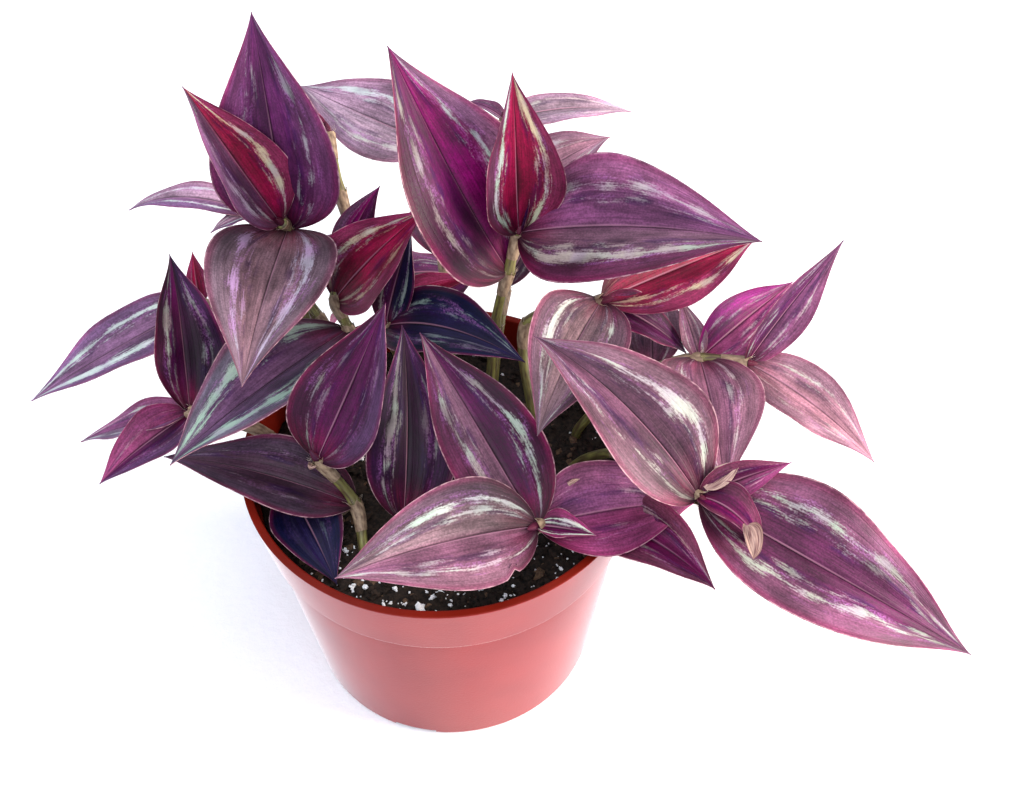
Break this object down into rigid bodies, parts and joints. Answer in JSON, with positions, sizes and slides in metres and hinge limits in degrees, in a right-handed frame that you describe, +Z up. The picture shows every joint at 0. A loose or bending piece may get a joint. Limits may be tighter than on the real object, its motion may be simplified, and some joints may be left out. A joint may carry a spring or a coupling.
{
  "type": "potted tradescantia",
  "caption": "House plant with striped pointed leaves on jointed stems, standing in soil in a round collared nursery pot.",
  "frame": {"origin": "centre of the pot's foot, on the surface that the pot stands on", "axes": "+Z up through the pot, +X to the right and -Y to the front of the plant as pictured"},
  "size_m": [0.2545, 0.1837, 0.1867],
  "materials": {
    "pot_plastic": "satin moulded polypropylene",
    "potting_soil": "loose dark peat mix, rough and unlit",
    "foliage": "soft sheen of living leaf skin"
  },
  "bodies": {
    "root": {"pot": "pot_plastic", "soil": "potting_soil", "leafy_stem_tall_left": "foliage", "leafy_stem_top": "foliage", "leafy_stem_mid_right": "foliage", "leafy_stem_front_left": "foliage", "leafy_stem_centre": "foliage", "leafy_stem_front": "foliage", "leafy_stem_front_right": "foliage", "leafy_stem_right": "foliage", "leafy_stem_left": "foliage", "leafy_stem_far_left": "foliage", "leafy_stem_mid_left": "foliage", "leafy_stem_inner": "foliage", "leafy_stem_pot_edge": "foliage", "leafy_stem_back_left": "foliage", "leafy_stem_tall_back": "foliage", "leafy_stem_back": "foliage", "leafy_stem_back_right": "foliage", "leafy_stem_trailing_back": "foliage", "leafy_stem_low_right": "foliage"}
  },
  "joints": []
}
